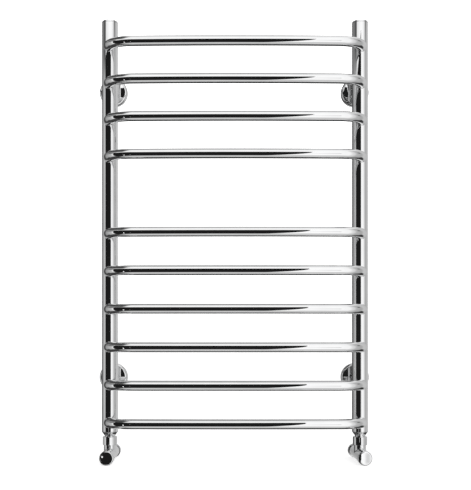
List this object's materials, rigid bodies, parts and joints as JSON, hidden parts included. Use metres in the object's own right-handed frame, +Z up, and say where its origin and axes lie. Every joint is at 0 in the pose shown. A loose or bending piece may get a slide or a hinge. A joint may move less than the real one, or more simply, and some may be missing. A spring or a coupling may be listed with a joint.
{
  "type": "towel radiator",
  "caption": "Wall-hung ladder towel radiator: bowed round rungs on two upright tubes, telescopic brackets with round covers, and an angle shut-off valve with a round knob under each tube.",
  "frame": {"origin": "on the wall plane, in the middle of the four wall brackets", "axes": "+Z up along the tubes, +X to the right as seen from the room, +Y into the wall, so -Y points into the room"},
  "size_m": [0.558, 0.1682, 0.8793],
  "materials": {
    "chrome": "polished chrome plate",
    "steel": "bright zinc-plated steel",
    "brass": "machined, unplated",
    "rubber": "matt black seal rubber"
  },
  "bodies": {
    "radiator": {"rung_01": "chrome", "rung_02": "chrome", "rung_03": "chrome", "rung_04": "chrome", "rung_05": "chrome", "rung_06": "chrome", "rung_07": "chrome", "rung_08": "chrome", "rung_09": "chrome", "rung_10": "chrome", "upright_left": "chrome", "top_cap_left": "chrome", "end_cone_left": "chrome", "bracket_upper_left_base": "steel", "bracket_upper_left_wall_screw": "steel", "bracket_upper_left_post": "chrome", "bracket_upper_left_set_screw": "steel", "bracket_lower_left_base": "steel", "bracket_lower_left_wall_screw": "steel", "bracket_lower_left_post": "chrome", "bracket_lower_left_set_screw": "steel", "valve_left_body": "chrome", "valve_left_inlet_nut": "chrome", "valve_left_union_nut": "chrome", "valve_left_union_tail": "brass", "valve_left_union_gasket": "rubber", "valve_left_bonnet": "brass", "valve_left_stem_seal": "rubber", "upright_right": "chrome", "top_cap_right": "chrome", "end_cone_right": "chrome", "bracket_upper_right_base": "steel", "bracket_upper_right_wall_screw": "steel", "bracket_upper_right_post": "chrome", "bracket_upper_right_set_screw": "steel", "bracket_lower_right_base": "steel", "bracket_lower_right_wall_screw": "steel", "bracket_lower_right_post": "chrome", "bracket_lower_right_set_screw": "steel", "valve_right_body": "chrome", "valve_right_inlet_nut": "chrome", "valve_right_union_nut": "chrome", "valve_right_union_tail": "brass", "valve_right_union_gasket": "rubber", "valve_right_bonnet": "brass", "valve_right_stem_seal": "rubber", "air_vent_body": "chrome"},
    "left_knob": {"valve_left_knob": "chrome", "valve_left_stem": "brass"},
    "left_plug": {"valve_left_plug": "brass", "valve_left_plug_washer": "rubber"},
    "right_knob": {"valve_right_knob": "chrome", "valve_right_stem": "brass"},
    "right_plug": {"valve_right_plug": "brass", "valve_right_plug_washer": "rubber"},
    "upper_left_cover": {"bracket_upper_left_cover": "chrome"},
    "lower_left_cover": {"bracket_lower_left_cover": "chrome"},
    "upper_right_cover": {"bracket_upper_right_cover": "chrome"},
    "lower_right_cover": {"bracket_lower_right_cover": "chrome"},
    "bleed_screw": {"air_vent_bleed_screw": "steel"}
  },
  "joints": [
    {"name": "left_knob_turn", "type": "hinge", "parent": "radiator", "child": "left_knob", "pos_m": [-0.25, -0.1258, -0.4468], "axis": [0, -1, 0], "range_deg": [0, 900]},
    {"name": "left_plug_lift", "type": "slide", "parent": "radiator", "child": "left_plug", "axis": [0, -1, 0], "range_m": [0, 0.004]},
    {"name": "right_knob_turn", "type": "hinge", "parent": "radiator", "child": "right_knob", "pos_m": [0.25, -0.1258, -0.4468], "axis": [0, -1, 0], "range_deg": [0, 900]},
    {"name": "right_plug_lift", "type": "slide", "parent": "radiator", "child": "right_plug", "axis": [0, -1, 0], "range_m": [0, 0.004]},
    {"name": "upper_left_cover_slide", "type": "slide", "parent": "radiator", "child": "upper_left_cover", "axis": [0, -1, 0], "range_m": [0, 0.03]},
    {"name": "lower_left_cover_slide", "type": "slide", "parent": "radiator", "child": "lower_left_cover", "axis": [0, -1, 0], "range_m": [0, 0.03]},
    {"name": "upper_right_cover_slide", "type": "slide", "parent": "radiator", "child": "upper_right_cover", "axis": [0, -1, 0], "range_m": [0, 0.03]},
    {"name": "lower_right_cover_slide", "type": "slide", "parent": "radiator", "child": "lower_right_cover", "axis": [0, -1, 0], "range_m": [0, 0.03]},
    {"name": "bleed_screw_turn", "type": "hinge", "parent": "radiator", "child": "bleed_screw", "pos_m": [-0.25, -0.052, 0.396], "axis": [0, 1, 0], "range_deg": [0, 540]}
  ],
  "couplings": [
    {"joint": "left_plug_lift", "follows": "left_knob_turn", "m_per_rad": 0.0002546},
    {"joint": "right_plug_lift", "follows": "right_knob_turn", "m_per_rad": 0.0002546}
  ]
}
